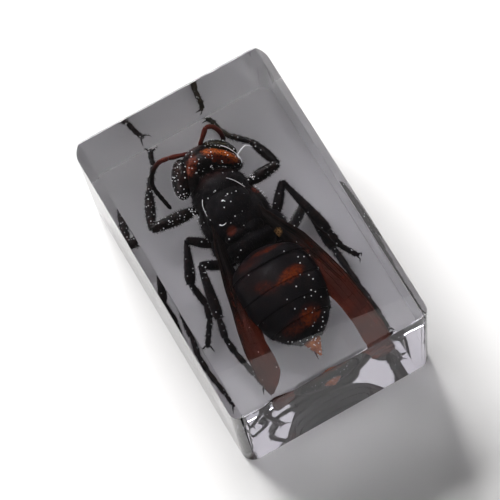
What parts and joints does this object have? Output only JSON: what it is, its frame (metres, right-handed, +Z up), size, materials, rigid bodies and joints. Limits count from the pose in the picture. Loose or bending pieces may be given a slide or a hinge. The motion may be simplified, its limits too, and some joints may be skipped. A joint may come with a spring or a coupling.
{
  "type": "insect in resin block",
  "caption": "Rectangular clear resin paperweight with chamfered long top edges and a dried wasp sealed inside, resting on its flat base.",
  "frame": {"origin": "middle of the block's flat base", "axes": "+Z up through the block's thickness, +Y along its length towards the insect's head, +X to the insect's right"},
  "size_m": [0.04, 0.0614, 0.026],
  "materials": {
    "clear_resin": "polished clear cast resin with a faint smoky tint",
    "dark_cuticle": "polished near-black insect cuticle, finely pitted",
    "orange_cuticle": "glossy orange insect cuticle, finely pitted",
    "wing_membrane": "thin smoky brown wing membrane with darker veins",
    "trapped_air": "silvery film and specks of trapped air"
  },
  "bodies": {
    "root": {"resin_block": "clear_resin"}
  },
  "joints": []
}
